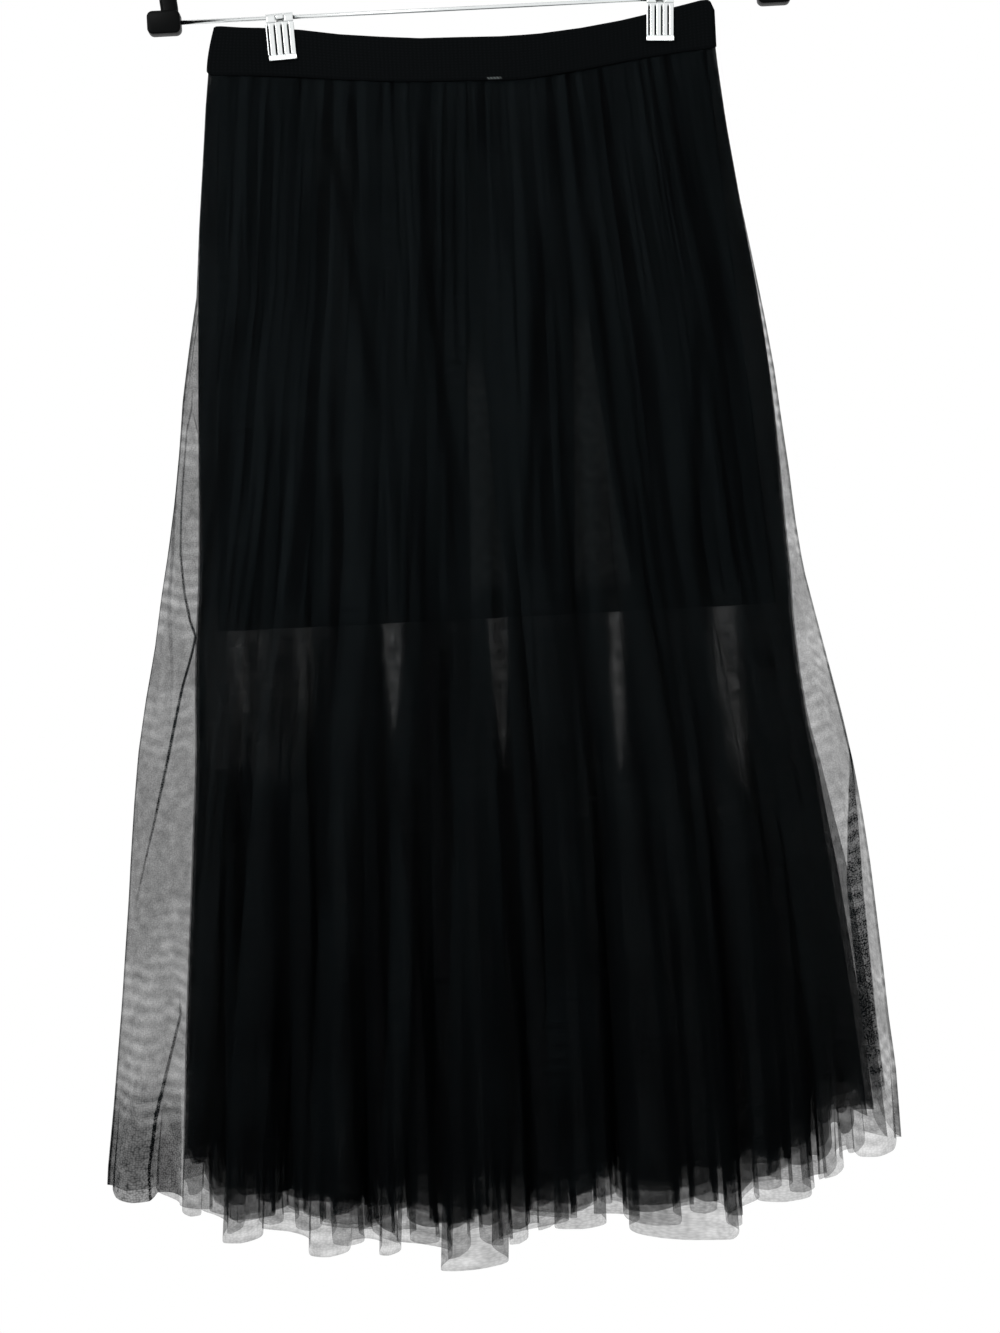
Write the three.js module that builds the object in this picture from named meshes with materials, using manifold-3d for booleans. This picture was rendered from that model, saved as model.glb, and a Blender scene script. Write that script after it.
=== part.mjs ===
// A black tulle skirt, clipped by its waistband to a plain skirt hanger.
// Millimetres, +Z up, the skirt's front towards -Y.
// The origin is the inner top of the hanger's hook, where a rail carries it.
// "down" is a distance below the middle of the clip bar.

import * as THREE from "three";
import { mergeVertices } from "three/addons/utils/BufferGeometryUtils.js";
import Module from "manifold-3d";

// Hanger: hook, neck, arms, end blocks and clip bar
const hookWire = 4;
const hookInside = 20;
const barBelowHook = 190;
const barWire = 3;
const hookStem = { foot: 22, aboveNeck: 6 };
const neckTop = 76;
const neckHeight = 34;
const neckRadius = 11;
const neckBoreFoot = 11;
const arm = { tall: 12, deep: 8, corner: 3, start: 20, stub: 8 };
// Places that an arm passes on its way to its end block: across, and down from the neck's top
const armBend = [
  { across: 60, down: 27 },
  { across: 120, down: 41 },
  { across: 168, down: 58 },
  { across: 194, down: 76 },
];
const endBlock = { across: 210.5, wide: 23, tall: 16, deep: 14, corner: 4 };
const barSocket = 8;

// Clips: a plate with flutes down its face and knuckles that turn on the bar, in front and behind
const clipWide = 18.6;
const clipPlate = { top: 3.6, bottom: 29.8, thick: 1.5 };
const clipLip = { tall: 3.4, proud: 0.5, wider: 0.3 };
const clipFlutes = { count: 4, pitch: 4.4, wide: 1.2, deep: 0.7 };
const knuckle = { play: 0.6, wall: 0.9, middle: 5.4 };
const clips = [
  { name: "left", across: -131, lean: -2.6 },
  { name: "right", across: 132, lean: 2.9 },
];

// Cloth: wall thicknesses and the gap that parts keep at a seam
const seam = 0.3;
const bandWall = 1.6;
const tulleWall = 1.2;
const innerWall = 1.4;
const liningWall = 1.1;
const pinchedOff = (bandWall + seam) / 2;

// Waistband, left to right: its edges, and how far each half stands off the middle
const bandShape = [
  { across: -183.4, top: 12, bottom: 33, off: pinchedOff },
  { across: -181.4, top: 6.6, bottom: 35.6, off: pinchedOff },
  { across: -177, top: 4.4, bottom: 36, off: pinchedOff },
  { across: -162, top: 5.4, bottom: 36.6, off: 1.3 },
  { across: -148, top: 6.3, bottom: 37.6, off: pinchedOff },
  { across: -114, top: 9.8, bottom: 40.6, off: pinchedOff },
  { across: -90, top: 14, bottom: 43.6, off: 2.6 },
  { across: -48, top: 19, bottom: 47.6, off: 5.6 },
  { across: 0, top: 21.2, bottom: 49, off: 6.6 },
  { across: 48, top: 21, bottom: 48, off: 5.6 },
  { across: 90, top: 16.2, bottom: 44, off: 2.6 },
  { across: 115, top: 12, bottom: 41, off: pinchedOff },
  { across: 149, top: 5, bottom: 37.4, off: pinchedOff },
  { across: 158, top: 3.2, bottom: 36.8, off: 1.2 },
  { across: 166, top: 2.6, bottom: 36, off: pinchedOff },
  { across: 168.8, top: 8, bottom: 35.2, off: pinchedOff },
];

// Skirt sections: the outer layer's reach left and right and the inner layer's reach,
// half the depth at the middle and how square its sides are, the gap to the inner layer,
// the width over which the inner layer closes, and the swing of folds and gathers
const sections = namedRows(
  ["down", "left", "right", "inLeft", "inRight", "depth", "square", "gap", "side", "fold", "gather"],
  [
    [37, 182, 168, 176, 162, 7, 6, 2.4, 9, 0.2, 1],
    [70, 186, 172, 180, 166, 12, 5, 3, 12, 1.2, 1.4],
    [130, 192, 178, 185, 171, 20, 4, 4, 16, 3.4, 1.5],
    [210, 201, 190, 192, 182, 29, 3.5, 5.5, 20, 6.5, 1],
    [330, 221, 202, 203, 194, 39, 3, 7.5, 26, 10, 0.3],
    [421, 237, 214, 212, 205, 45, 3, 10, 30, 12.5, 0],
    [520, 256, 236, 218, 216, 50, 2.8, 11.5, 34, 14.5, 0],
    [690, 275, 252, 230, 234, 56, 2.6, 12, 38, 16.5, 0],
    [850, 292, 262, 241, 245, 60, 2.5, 12, 42, 17.5, 0],
  ],
);
const topDown = sections[0].down;
const slackHeight = 130;
const hemDown = sections[sections.length - 1].down;

// Folds of the front, left to right: where each crest meets the hem, and the hem there
const frontFolds = [
  { across: -278, hem: 806 },
  { across: -258, hem: 806 },
  { across: -236, hem: 816 },
  { across: -212, hem: 833 },
  { across: -188, hem: 834 },
  { across: -166, hem: 828 },
  { across: -141, hem: 844 },
  { across: -117, hem: 837 },
  { across: -95, hem: 845 },
  { across: -72, hem: 838 },
  { across: -48, hem: 855 },
  { across: -22, hem: 847 },
  { across: 3, hem: 845 },
  { across: 28, hem: 830 },
  { across: 54, hem: 834 },
  { across: 82, hem: 839 },
  { across: 109, hem: 843 },
  { across: 135, hem: 847 },
  { across: 162, hem: 824 },
  { across: 188, hem: 822 },
  { across: 212, hem: 810 },
  { across: 243, hem: 800 },
];
const foldCount = frontFolds.length;
const seamHem = { left: 798, right: 794 };

// Lining: a short underskirt inside the inner layer
const lining = { hem: 421, left: 194, right: 190, topLeft: 158, topRight: 145, waves: 7, swing: 2.2 };

// Colours
const blackCloth = { color: 0x0d0f11, roughness: 0.95, metalness: 0 };
const blackTulle = { color: 0x101214, roughness: 0.9, metalness: 0 };
const blackPlastic = { color: 0x17181a, roughness: 0.35, metalness: 0 };
const chrome = { color: 0xd5d9da, roughness: 0.15, metalness: 1 };

const wasm = await Module();
wasm.setup();

const part = new THREE.Group();

function addMesh(name, geometry, look) {
  const mesh = new THREE.Mesh(geometry, new THREE.MeshStandardMaterial(look));
  mesh.name = name;
  part.add(mesh);
  return mesh;
}

// Rows of numbers as rows with named columns
function namedRows(columns, rows) {
  return rows.map((row) => Object.fromEntries(columns.map((column, i) => [column, row[i]])));
}

// Reads a column of a table at a place between its rows
function readTable(rows, key, place, column) {
  if (place <= rows[0][key]) return rows[0][column];
  for (let i = 1; i < rows.length; i += 1) {
    if (place <= rows[i][key]) {
      const share = (place - rows[i - 1][key]) / (rows[i][key] - rows[i - 1][key]);
      return THREE.MathUtils.lerp(rows[i - 1][column], rows[i][column], share);
    }
  }
  return rows[rows.length - 1][column];
}

function toManifold(geometry) {
  const bare = geometry.index ? geometry.toNonIndexed() : geometry.clone();
  bare.deleteAttribute("normal");
  bare.deleteAttribute("uv");
  const merged = mergeVertices(bare, 1e-4);
  const vertProperties = new Float32Array(merged.attributes.position.array);
  const triVerts = new Uint32Array(merged.index.array);
  return new wasm.Manifold(new wasm.Mesh({ numProp: 3, vertProperties, triVerts }));
}

function fromManifold(solid) {
  const mesh = solid.getMesh();
  const geometry = new THREE.BufferGeometry();
  geometry.setAttribute("position", new THREE.BufferAttribute(mesh.vertProperties, 3));
  geometry.setIndex(new THREE.BufferAttribute(mesh.triVerts, 1));
  return geometry;
}

// Closes a wall of cloth between an outer and an inner grid of points
function clothWall(middle, wall) {
  const rows = middle.length;
  const columns = middle[0].length;
  const sides = [1, -1].map((side) =>
    middle.map((row) => row.map((point, c) => offsetPoint(row, point, c, (side * wall) / 2))),
  );
  const positions = [];
  const at = (side, r, c) => (side * rows + r) * columns + c;
  for (const grid of sides) {
    for (const row of grid) {
      for (const point of row) positions.push(point.x, point.y, point.z);
    }
  }
  const faces = [];
  const quad = (a, b, c, d) => faces.push(a, b, c, a, c, d);
  for (let r = 0; r + 1 < rows; r += 1) {
    for (let c = 0; c + 1 < columns; c += 1) {
      quad(at(0, r, c), at(0, r + 1, c), at(0, r + 1, c + 1), at(0, r, c + 1));
      quad(at(1, r, c), at(1, r, c + 1), at(1, r + 1, c + 1), at(1, r + 1, c));
    }
    quad(at(0, r, 0), at(1, r, 0), at(1, r + 1, 0), at(0, r + 1, 0));
    const e = columns - 1;
    quad(at(0, r, e), at(0, r + 1, e), at(1, r + 1, e), at(1, r, e));
  }
  for (let c = 0; c + 1 < columns; c += 1) {
    const e = rows - 1;
    quad(at(0, 0, c), at(0, 0, c + 1), at(1, 0, c + 1), at(1, 0, c));
    quad(at(0, e, c), at(1, e, c), at(1, e, c + 1), at(0, e, c + 1));
  }
  const geometry = new THREE.BufferGeometry();
  geometry.setAttribute("position", new THREE.Float32BufferAttribute(positions, 3));
  geometry.setIndex(faces);
  return geometry;
}

// Moves a point of a row square to the row, in plan, towards the front for a positive distance
function offsetPoint(row, point, c, distance) {
  const before = row[Math.max(0, c - 1)];
  const after = row[Math.min(row.length - 1, c + 1)];
  const one = new THREE.Vector2(point.x - before.x, point.y - before.y);
  const two = new THREE.Vector2(after.x - point.x, after.y - point.y);
  if (one.length() === 0) one.copy(two);
  if (two.length() === 0) two.copy(one);
  const along = one.normalize().add(two.normalize()).normalize();
  const square = Math.max(0.6, Math.abs(along.dot(two)));
  const reach = distance / square;
  return new THREE.Vector3(point.x + along.y * reach, point.y - along.x * reach, point.z);
}

// The back half of a piece mirrors its front half, so their folds meet at the side seams
function mirrorToBack(geometry) {
  const flipped = geometry.clone();
  flipped.scale(1, -1, 1);
  const index = flipped.index.array;
  for (let i = 0; i < index.length; i += 3) {
    [index[i], index[i + 1]] = [index[i + 1], index[i]];
  }
  return flipped;
}

// Where a fold coordinate, 0 at the left seam to foldCount at the right, lies at the hem
function acrossAtHem(folds, fold) {
  const { left, right } = sections[sections.length - 1];
  const stops = [{ fold: 0, across: -left }];
  folds.forEach((row, i) => stops.push({ fold: i + 0.5, across: row.across }));
  stops.push({ fold: foldCount, across: right });
  return readTable(stops, "fold", fold, "across");
}

function hemAt(folds, fold) {
  const stops = [{ fold: 0, hem: seamHem.left }];
  folds.forEach((row, i) => stops.push({ fold: i + 0.5, hem: row.hem }));
  stops.push({ fold: foldCount, hem: seamHem.right });
  return readTable(stops, "fold", fold, "hem");
}

// Across the outer layer at a level, from -1 at the left seam to 1 at the right
function shareAcross(folds, fold, down) {
  const top = (2 * fold) / foldCount - 1;
  const hem = acrossAtHem(folds, fold);
  const last = sections[sections.length - 1];
  const hemShare = hem < 0 ? hem / last.left : hem / last.right;
  return THREE.MathUtils.lerp(top, hemShare, (down - topDown) / (hemDown - topDown));
}

function acrossAt(folds, fold, down) {
  const share = shareAcross(folds, fold, down);
  return share * readTable(sections, "down", down, share < 0 ? "left" : "right");
}

// The fold coordinate at which a level reaches a given place across
function foldAt(folds, across, down) {
  let low = 0;
  let high = foldCount;
  for (let i = 0; i < 40; i += 1) {
    const middle = (low + high) / 2;
    if (acrossAt(folds, middle, down) < across) low = middle;
    else high = middle;
  }
  return (low + high) / 2;
}

const rise = (value) => Math.sin((Math.PI / 2) * THREE.MathUtils.clamp(value, 0, 1));

// How far the cloth swings at a level: folds below, finer gathers at the waist
function swingAt(folds, fold, down) {
  const step = 0.5;
  const pitch = acrossAt(folds, fold + step, down) - acrossAt(folds, fold - step, down);
  const { left, right } = sections[sections.length - 1];
  const size = Math.min(1.1, pitch / ((left + right) / foldCount));
  return {
    foldSwing: size * readTable(sections, "down", down, "fold"),
    gatherSwing: readTable(sections, "down", down, "gather"),
  };
}

// How far the outer layer stands off the middle of the skirt, and the least that it does nearby.
// Below the waistband it follows the band's slack, which fades out further down.
function outerOff(folds, fold, down) {
  const share = Math.abs(shareAcross(folds, fold, down));
  const depth = readTable(sections, "down", down, "depth");
  const square = readTable(sections, "down", down, "square");
  const gap = readTable(sections, "down", down, "gap");
  const least = (tulleWall + seam) / 2;
  const across = acrossAt(folds, fold, down);
  const slack = readTable(bandShape, "across", across, "off") - pinchedOff;
  const waist = slack * Math.max(0, 1 - (down - topDown) / slackHeight);
  const base = Math.max(least, waist + depth * Math.sqrt(Math.max(0, 1 - share ** square)));
  const { foldSwing, gatherSwing } = swingAt(folds, fold, down);
  const room = Math.max(0, base - least - gap);
  const still = Math.min(1, room / (foldSwing + gatherSwing));
  const folded = -foldSwing * Math.cos(2 * Math.PI * fold);
  const gathered = gatherSwing * Math.cos(4 * Math.PI * fold);
  return { off: base + still * (folded + gathered), low: base - still * (foldSwing + gatherSwing) };
}

// The inner layer's reach to the side of a place, and the width over which it closes there
function innerSide(across, down) {
  const side = readTable(sections, "down", down, "side");
  const reach = readTable(sections, "down", down, across < 0 ? "inLeft" : "inRight");
  const full = readTable(sections, "down", down, across < 0 ? "left" : "right");
  return { side, reach, full, start: reach - side };
}

// The least that the inner layer stands off the middle near a place across
function innerLow(folds, across, down) {
  const gap = readTable(sections, "down", down, "gap");
  const { side, reach } = innerSide(across, down);
  const least = (innerWall + seam) / 2;
  const under = outerOff(folds, foldAt(folds, across, down), down).low - gap;
  return THREE.MathUtils.lerp(least, Math.max(least, under), rise((reach - Math.abs(across)) / side));
}

// The inner layer follows the outer one at a gap, and closes flat at its own side seams
function innerPoint(folds, fold, down) {
  const outer = acrossAt(folds, fold, down);
  const { side, full, start } = innerSide(outer, down);
  const beyond = Math.max(0, Math.abs(outer) - start) / (full - start);
  const across = beyond > 0 ? Math.sign(outer) * (start + beyond * side) : outer;
  const own = outerOff(folds, fold, down);
  const flatten = Math.max(0, 1 - 4 * beyond) * rise(1 - beyond);
  return { across, off: innerLow(folds, across, down) + flatten * (own.off - own.low) };
}

function outerPoint(folds, fold, down) {
  return { across: acrossAt(folds, fold, down), off: outerOff(folds, fold, down).off };
}

const outerLayer = {
  point: outerPoint,
  levels: [37, 70, 130, 210, 330, 520, 690, 850],
  columnsPerFold: 6,
};
const innerLayer = {
  point: innerPoint,
  levels: [37, 130, 330, 580, 820],
  columnsPerFold: 4,
};

// Top and hem of the outer layer at a place across. Levels share out the height between them.
function skirtEdges(folds, fold, across) {
  return { top: readTable(bandShape, "across", across, "bottom") + seam, hem: hemAt(folds, fold) };
}

// A half of a tulle layer, as rows of points along its middle line
function tulleRows(folds, layer) {
  return layer.levels.map((level) => {
    const row = [];
    for (let c = 0; c <= foldCount * layer.columnsPerFold; c += 1) {
      const fold = c / layer.columnsPerFold;
      const { across, off } = layer.point(folds, fold, level);
      const { top, hem } = skirtEdges(folds, fold, across);
      const down = THREE.MathUtils.lerp(top, hem, (level - topDown) / (hemDown - topDown));
      row.push(new THREE.Vector3(across, -off, -barBelowHook - down));
    }
    return row;
  });
}

// The lining hangs just inside the inner layer's deepest folds, with a level hem
function liningRows(folds) {
  const rowCount = 4;
  const columns = lining.waves * 4;
  const least = (liningWall + seam) / 2;
  const rows = [];
  for (let r = 0; r <= rowCount; r += 1) {
    const share = r / rowCount;
    const left = THREE.MathUtils.lerp(lining.topLeft, lining.left, share);
    const right = THREE.MathUtils.lerp(lining.topRight, lining.right, share);
    const own = share * lining.swing;
    const clear = (innerWall + liningWall) / 2 + seam + own;
    const rowLevel = THREE.MathUtils.lerp(topDown, lining.hem, share);
    const row = [];
    for (let c = 0; c <= columns; c += 1) {
      const across = THREE.MathUtils.lerp(-left, right, c / columns);
      const { top, hem } = skirtEdges(folds, foldAt(folds, across, rowLevel), across);
      const down = THREE.MathUtils.lerp(top, lining.hem, share);
      const level = THREE.MathUtils.lerp(topDown, hemDown, (down - top) / (hem - top));
      const wave = own * Math.sin((2 * Math.PI * lining.waves * c) / columns);
      const off = innerLow(folds, across, level) - clear + wave;
      const closing = rise(Math.min(c, columns - c) / 4);
      const held = THREE.MathUtils.lerp(least, Math.max(least, off), closing);
      row.push(new THREE.Vector3(across, -held, -barBelowHook - down));
    }
    rows.push(row);
  }
  return rows;
}

// A half of the waistband, pinched flat in the clips and slack between them
function bandRows() {
  const columns = 32;
  const rowCount = 2;
  // How much closer together the columns stand at the band's ends
  const crowding = 0.35;
  const first = bandShape[0].across;
  const last = bandShape[bandShape.length - 1].across;
  const rows = [];
  for (let r = 0; r <= rowCount; r += 1) {
    const row = [];
    for (let c = 0; c <= columns; c += 1) {
      const turn = Math.cos((Math.PI * c) / columns);
      const even = 1 - (2 * c) / columns;
      const share = (THREE.MathUtils.lerp(even, turn, crowding) + 1) / 2;
      const across = THREE.MathUtils.lerp(last, first, share);
      const top = readTable(bandShape, "across", across, "top");
      const bottom = readTable(bandShape, "across", across, "bottom");
      const off = readTable(bandShape, "across", across, "off");
      const down = THREE.MathUtils.lerp(top, bottom, r / rowCount);
      row.push(new THREE.Vector3(across, -off, -barBelowHook - down));
    }
    rows.push(row);
  }
  return rows;
}

function addBothHalves(name, front, look) {
  addMesh(`${name}_front`, front, look);
  addMesh(`${name}_back`, mirrorToBack(front), look);
}

function addSkirt() {
  addBothHalves("waistband", clothWall(bandRows(), bandWall), blackCloth);
  addBothHalves("tulle_outer", clothWall(tulleRows(frontFolds, outerLayer), tulleWall), blackTulle);
  addBothHalves("tulle_inner", clothWall(tulleRows(frontFolds, innerLayer), innerWall), blackTulle);
  addBothHalves("lining", clothWall(liningRows(frontFolds), liningWall), blackCloth);
}

// A strap bent in the YZ plane, made from its outline, between two places across
function acrossStrip(outline, from, to) {
  const shape = new THREE.Shape(outline.map(([y, z]) => new THREE.Vector2(y, z)));
  const strip = new THREE.ExtrudeGeometry(shape, { depth: to - from, bevelEnabled: false });
  strip.applyMatrix4(new THREE.Matrix4().makeBasis(
    new THREE.Vector3(0, 1, 0),
    new THREE.Vector3(0, 0, 1),
    new THREE.Vector3(1, 0, 0),
  ));
  strip.translate(from, 0, 0);
  return strip;
}

// The front plate of a clip: flutes down its face, and a prouder lip that presses on the band
function clipFace() {
  const inner = pinchedOff + bandWall / 2 + seam;
  const outer = inner + clipPlate.thick;
  const half = clipWide / 2;
  const plan = [[half, -outer], [half, -inner], [-half, -inner], [-half, -outer]];
  for (let i = 0; i < clipFlutes.count; i += 1) {
    const across = (i - (clipFlutes.count - 1) / 2) * clipFlutes.pitch;
    plan.push([across - clipFlutes.wide / 2, -outer]);
    plan.push([across - clipFlutes.wide / 4, -outer + clipFlutes.deep]);
    plan.push([across + clipFlutes.wide / 4, -outer + clipFlutes.deep]);
    plan.push([across + clipFlutes.wide / 2, -outer]);
  }
  const shape = new THREE.Shape(plan.map(([x, y]) => new THREE.Vector2(x, y)));
  const tall = clipPlate.bottom - clipPlate.top;
  const plate = new THREE.ExtrudeGeometry(shape, { depth: tall, bevelEnabled: false });
  plate.translate(0, 0, -clipPlate.bottom);
  const thick = clipPlate.thick + clipLip.proud;
  const lip = new THREE.BoxGeometry(clipWide + 2 * clipLip.wider, thick, clipLip.tall);
  lip.translate(0, -inner - thick / 2, -clipPlate.bottom + clipLip.tall / 2);
  return toManifold(plate).add(toManifold(lip));
}

// A strap from the plate's top, round the bar and back under it
function knuckleOutline() {
  const inside = barWire / 2 + knuckle.play;
  const outside = inside + knuckle.wall;
  const foot = -(pinchedOff + bandWall / 2 + seam);
  const start = Math.PI;
  const end = -0.2 * Math.PI;
  const steps = 8;
  const outline = [
    [foot - knuckle.wall, -clipPlate.top - 1],
    [foot, -clipPlate.top - 1],
  ];
  for (let i = 0; i <= steps; i += 1) {
    const angle = THREE.MathUtils.lerp(start, end, i / steps);
    outline.push([inside * Math.cos(angle), inside * Math.sin(angle)]);
  }
  for (let i = steps; i >= 0; i -= 1) {
    const angle = THREE.MathUtils.lerp(start, end, i / steps);
    outline.push([outside * Math.cos(angle), outside * Math.sin(angle)]);
  }
  return outline;
}

function addClip({ name, across, lean }) {
  const half = clipWide / 2;
  const middle = knuckle.middle / 2;
  const plate = clipFace();
  const strap = knuckleOutline();
  const leftStrap = toManifold(acrossStrip(strap, -half, -middle - seam));
  const rightStrap = toManifold(acrossStrip(strap, middle + seam, half));
  const middleStrap = toManifold(acrossStrip(strap, -middle, middle));
  const front = fromManifold(plate.add(leftStrap).add(rightStrap));
  const back = mirrorToBack(fromManifold(plate.add(middleStrap)));
  const jaws = [
    [`clip_${name}_front`, front],
    [`clip_${name}_back`, back],
  ];
  for (const [node, geometry] of jaws) {
    const jaw = addMesh(node, geometry, chrome);
    jaw.position.set(across, 0, -barBelowHook);
    jaw.rotation.y = THREE.MathUtils.degToRad(lean);
  }
}

// A round wire or a flat arm along a curve in the XZ plane
function sweep(points, section, steps) {
  const knots = points.map(([x, z]) => new THREE.Vector3(x, 0, z));
  const path = new THREE.CatmullRomCurve3(knots, false, "centripetal");
  return new THREE.ExtrudeGeometry(section, { steps, bevelEnabled: false, extrudePath: path });
}

function roundSection(diameter, sides) {
  const points = [];
  for (let i = 0; i < sides; i += 1) {
    const angle = (2 * Math.PI * i) / sides;
    points.push(new THREE.Vector2((diameter / 2) * Math.cos(angle), (diameter / 2) * Math.sin(angle)));
  }
  return new THREE.Shape(points);
}

function softBox(wide, tall, corner) {
  const x = wide / 2;
  const y = tall / 2;
  const cut = corner * (1 - Math.SQRT1_2);
  const shape = new THREE.Shape();
  const corners = [[x, y - corner], [x - cut, y - cut], [x - corner, y]];
  const turned = [
    ...corners,
    ...corners.map(([a, b]) => [-a, b]).reverse(),
    ...corners.map(([a, b]) => [-a, -b]),
    ...corners.map(([a, b]) => [a, -b]).reverse(),
  ];
  turned.forEach(([a, b], i) => (i ? shape.lineTo(a, b) : shape.moveTo(a, b)));
  return shape;
}

// The wire rises from the neck, leans out to one side and bends round over the rail
function addHook() {
  const bend = hookInside + hookWire / 2;
  const centre = -hookInside;
  const points = [
    [0, -neckTop - hookStem.foot],
    [0, -neckTop - 4],
    [0, -neckTop + hookStem.aboveNeck],
    [5, centre - 38],
    [15, centre - 21],
  ];
  const openAngle = -20;
  const tipAngle = 200;
  for (let degrees = openAngle; degrees <= tipAngle; degrees += 20) {
    const angle = THREE.MathUtils.degToRad(degrees);
    points.push([bend * Math.cos(angle), centre + bend * Math.sin(angle)]);
  }
  addMesh("hanger_hook", sweep(points, roundSection(hookWire, 8), 34), chrome);
}

function addNeck() {
  const bore = hookWire / 2 + seam + 0.1;
  const top = -neckTop;
  const bottom = top - neckHeight;
  const boreFoot = bottom + neckBoreFoot;
  const profile = [
    [0, bottom],
    [neckRadius - 2, bottom],
    [neckRadius, bottom + 2],
    [neckRadius, top - 7],
    [neckRadius * 0.6, top],
    [bore, top],
    [bore, boreFoot],
    [0, boreFoot],
  ];
  const neck = new THREE.LatheGeometry(profile.map(([x, y]) => new THREE.Vector2(x, y)), 20);
  neck.rotateX(Math.PI / 2);
  addMesh("hanger_neck", fromManifold(toManifold(neck)), blackPlastic);
}

function addArm(name, side) {
  const blockTop = -barBelowHook + endBlock.tall / 2 + seam;
  const end = endBlock.across - 4;
  const points = [
    [neckRadius + seam, -neckTop - arm.start],
    [neckRadius + arm.stub, -neckTop - arm.start],
    ...armBend.map(({ across, down }) => [across, -neckTop - down]),
    [end, blockTop + 12],
    [end, blockTop],
  ];
  const swept = toManifold(sweep(points, softBox(arm.deep, arm.tall, arm.corner), 12));
  const solid = fromManifold(swept);
  addMesh(name, side < 0 ? mirrorAcross(solid) : solid, blackPlastic);
}

// The left arm from the right one
function mirrorAcross(geometry) {
  const flipped = geometry.clone();
  flipped.scale(-1, 1, 1);
  const index = flipped.index.array;
  for (let i = 0; i < index.length; i += 3) {
    [index[i], index[i + 1]] = [index[i + 1], index[i]];
  }
  return flipped;
}

function addEndBlock(name, side) {
  const { across, wide, tall, deep, corner } = endBlock;
  const block = new THREE.ExtrudeGeometry(softBox(wide, tall, corner), { depth: deep, bevelEnabled: false });
  block.translate(0, 0, -deep / 2);
  block.rotateX(Math.PI / 2);
  const hole = new THREE.CylinderGeometry(barWire / 2 + seam, barWire / 2 + seam, 2 * barSocket, 12);
  hole.rotateZ(Math.PI / 2);
  hole.translate(-side * (wide / 2), 0, 0);
  const drilled = fromManifold(toManifold(block).subtract(toManifold(hole)));
  addMesh(name, drilled, blackPlastic).position.set(side * across, 0, -barBelowHook);
}

function addBar() {
  const half = endBlock.across - endBlock.wide / 2 + barSocket - 2 * seam;
  const bar = new THREE.CylinderGeometry(barWire / 2, barWire / 2, 2 * half, 12);
  bar.rotateZ(Math.PI / 2);
  addMesh("hanger_bar", bar, chrome).position.set(0, 0, -barBelowHook);
}

addHook();
addNeck();
addArm("hanger_arm_left", -1);
addArm("hanger_arm_right", 1);
addEndBlock("hanger_end_left", -1);
addEndBlock("hanger_end_right", 1);
addBar();
clips.forEach(addClip);
addSkirt();

export default part;
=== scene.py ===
import math

import bmesh
import bpy
import numpy as np
from mathutils import Matrix, Vector


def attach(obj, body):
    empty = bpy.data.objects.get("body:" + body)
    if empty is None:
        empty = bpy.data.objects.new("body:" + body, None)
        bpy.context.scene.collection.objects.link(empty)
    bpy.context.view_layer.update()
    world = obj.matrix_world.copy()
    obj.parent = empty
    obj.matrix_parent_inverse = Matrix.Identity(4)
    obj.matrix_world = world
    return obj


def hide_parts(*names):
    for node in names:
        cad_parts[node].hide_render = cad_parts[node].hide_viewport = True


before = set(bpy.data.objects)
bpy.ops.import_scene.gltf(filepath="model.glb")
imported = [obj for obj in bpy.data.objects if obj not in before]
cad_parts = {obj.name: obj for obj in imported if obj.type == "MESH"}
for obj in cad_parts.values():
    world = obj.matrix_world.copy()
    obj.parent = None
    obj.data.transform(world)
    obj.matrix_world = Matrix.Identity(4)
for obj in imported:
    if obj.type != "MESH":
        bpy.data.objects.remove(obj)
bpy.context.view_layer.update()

# The room.
# A white studio: a white surround, a pale floor well below the hem, and a broad soft
# light from the upper left. The camera stands level with the middle of the skirt and is
# rolled a little, because the skirt hangs with its right side high.
scene = bpy.context.scene
scene.view_settings.view_transform = "Standard"
# A ray may cross many plies of net, but only gloss sends it on
scene.cycles.transparent_max_bounces = 24
scene.cycles.max_bounces = 2
scene.cycles.glossy_bounces = 1
scene.cycles.diffuse_bounces = 0
MM = 0.001
# The bar hangs this far below the rail, in mm, and the skirt is measured down from the bar
BAR_DOWN = 190


def linear(hex_colour):
    """An sRGB hex colour as linear RGBA"""
    channels = [int(hex_colour[i:i + 2], 16) / 255 for i in (1, 3, 5)]
    curved = [c / 12.92 if c <= 0.04045 else ((c + 0.055) / 1.055) ** 2.4 for c in channels]
    return (*curved, 1.0)


def add_node(tree, kind, settings=None, values=None, links=None):
    """One node with its settings, its sockets' values and its incoming links"""
    node = tree.nodes.new(kind)
    for key, value in (settings or {}).items():
        setattr(node, key, value)
    for socket, value in (values or {}).items():
        node.inputs[socket].default_value = value
    for socket, source in (links or {}).items():
        tree.links.new(source, node.inputs[socket])
    return node


surround = bpy.data.worlds.new("white_surround")
surround.use_nodes = True
surround.node_tree.nodes.clear()
rays = add_node(surround.node_tree, "ShaderNodeLightPath")
seen = add_node(surround.node_tree, "ShaderNodeMath", {"operation": "MAXIMUM"},
                links={0: rays.outputs["Is Camera Ray"], 1: rays.outputs["Is Glossy Ray"]})
lit = add_node(surround.node_tree, "ShaderNodeBackground",
               values={"Color": linear("#F4F6F8"), "Strength": 0.42})
plain = add_node(surround.node_tree, "ShaderNodeBackground",
                 values={"Color": linear("#FFFFFF"), "Strength": 1.0})
either = add_node(surround.node_tree, "ShaderNodeMixShader",
                  links={0: seen.outputs[0], 1: lit.outputs[0], 2: plain.outputs[0]})
add_node(surround.node_tree, "ShaderNodeOutputWorld", links={"Surface": either.outputs[0]})
scene.world = surround

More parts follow.
